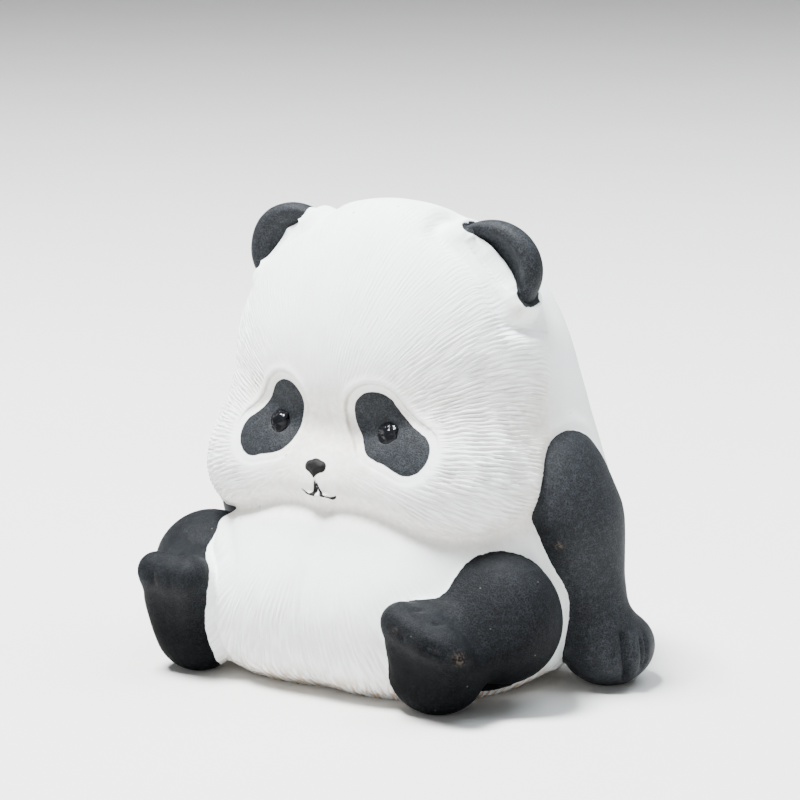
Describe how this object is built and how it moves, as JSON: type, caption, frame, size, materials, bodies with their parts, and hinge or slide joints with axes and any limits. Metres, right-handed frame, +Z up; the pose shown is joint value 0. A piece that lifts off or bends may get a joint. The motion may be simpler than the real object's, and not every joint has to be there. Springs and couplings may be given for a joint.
{
  "type": "panda figurine",
  "caption": "Small sitting panda of fired white clay with engraved fur, black slip on limbs, ears and eye patches, and glossy black glaze eyes.",
  "frame": {"origin": "on the table, in the flat underside of the body, under the middle of the figure", "axes": "+Z up, the face looks along -Y, the figure's left side is at +X"},
  "size_m": [0.0592, 0.0475, 0.0541],
  "materials": {
    "white_clay": "unglazed white clay, matt, with black slip brushed on limbs, ears, nose and eye patches",
    "black_glaze": "glossy black glaze"
  },
  "bodies": {
    "root": {"panda_body": "white_clay", "left_eye_bead": "black_glaze", "right_eye_bead": "black_glaze"}
  },
  "joints": []
}
